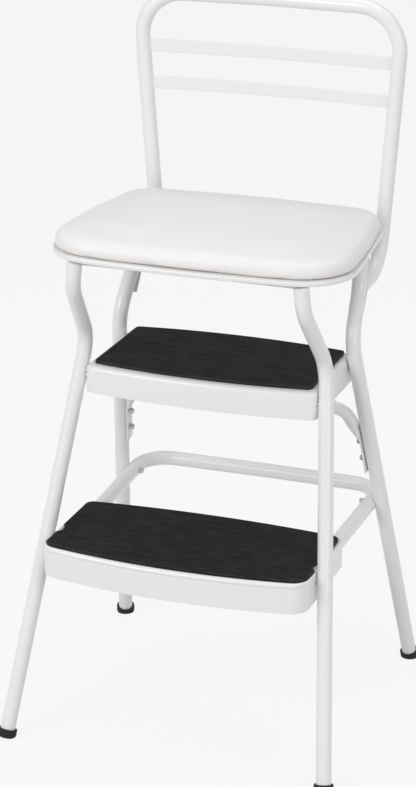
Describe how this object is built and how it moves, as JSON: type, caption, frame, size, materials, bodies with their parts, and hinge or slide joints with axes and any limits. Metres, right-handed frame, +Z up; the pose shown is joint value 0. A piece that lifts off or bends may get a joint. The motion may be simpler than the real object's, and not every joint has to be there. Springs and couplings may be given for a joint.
{
  "type": "step stool chair",
  "caption": "Counter-height chair of white steel tube with two rubber-matted steps and a padded seat that lifts on a rear hinge.",
  "frame": {"origin": "on the floor, under the middle of the footprint", "axes": "+Z up, +Y to the back of the chair, +X to the right for someone who looks at its front"},
  "size_m": [0.4452, 0.4228, 0.89],
  "materials": {
    "white_enamel": "gloss white enamel",
    "white_vinyl": "smooth white vinyl cover over foam",
    "black_rubber": "matt black ribbed rubber",
    "zinc_plate": "bright zinc plate",
    "plywood": "raw plywood"
  },
  "bodies": {
    "frame": {"front_leg_right": "white_enamel", "front_leg_left": "white_enamel", "rear_leg_right": "white_enamel", "rear_leg_left": "white_enamel", "top_step_tray": "white_enamel", "lower_step_tray": "white_enamel", "lower_rear_bar": "white_enamel", "step_brace_right": "white_enamel", "step_brace_left": "white_enamel", "front_seat_rail": "white_enamel", "rear_seat_rail": "white_enamel", "side_seat_rail_right": "white_enamel", "side_seat_rail_left": "white_enamel", "hinge_bracket_right": "white_enamel", "hinge_bracket_left": "white_enamel", "back_frame": "white_enamel", "back_slat_upper": "white_enamel", "back_slat_lower": "white_enamel", "front_foot_cap_right": "black_rubber", "front_foot_cap_left": "black_rubber", "rear_foot_cap_right": "black_rubber", "rear_foot_cap_left": "black_rubber", "top_step_mat": "black_rubber", "lower_step_mat": "black_rubber", "seat_bumper_right": "black_rubber", "seat_bumper_left": "black_rubber", "hinge_pin_right": "zinc_plate", "hinge_pin_left": "zinc_plate", "back_stud_right": "zinc_plate", "back_stud_left": "zinc_plate", "brace_upper_bolt_right": "zinc_plate", "brace_upper_bolt_left": "zinc_plate", "brace_lower_bolt_right": "zinc_plate", "brace_lower_bolt_left": "zinc_plate", "bar_bolt_right": "zinc_plate", "bar_bolt_left": "zinc_plate", "lower_step_bolt_right": "zinc_plate", "lower_step_bolt_left": "zinc_plate", "top_step_front_bolt_right": "zinc_plate", "top_step_front_bolt_left": "zinc_plate", "top_step_rear_bolt_right": "zinc_plate", "top_step_rear_bolt_left": "zinc_plate", "brace_rivet_right": "zinc_plate", "brace_rivet_left": "zinc_plate"},
    "seat": {"seat_pan": "white_enamel", "seat_board": "plywood", "seat_pad": "white_vinyl", "seat_hinge_right": "zinc_plate", "seat_hinge_left": "zinc_plate"}
  },
  "joints": [
    {"name": "seat_lift", "type": "hinge", "parent": "frame", "child": "seat", "pos_m": [0, 0.13266, 0.6], "axis": [-1, 0, 0], "range_deg": [0, 88]}
  ]
}
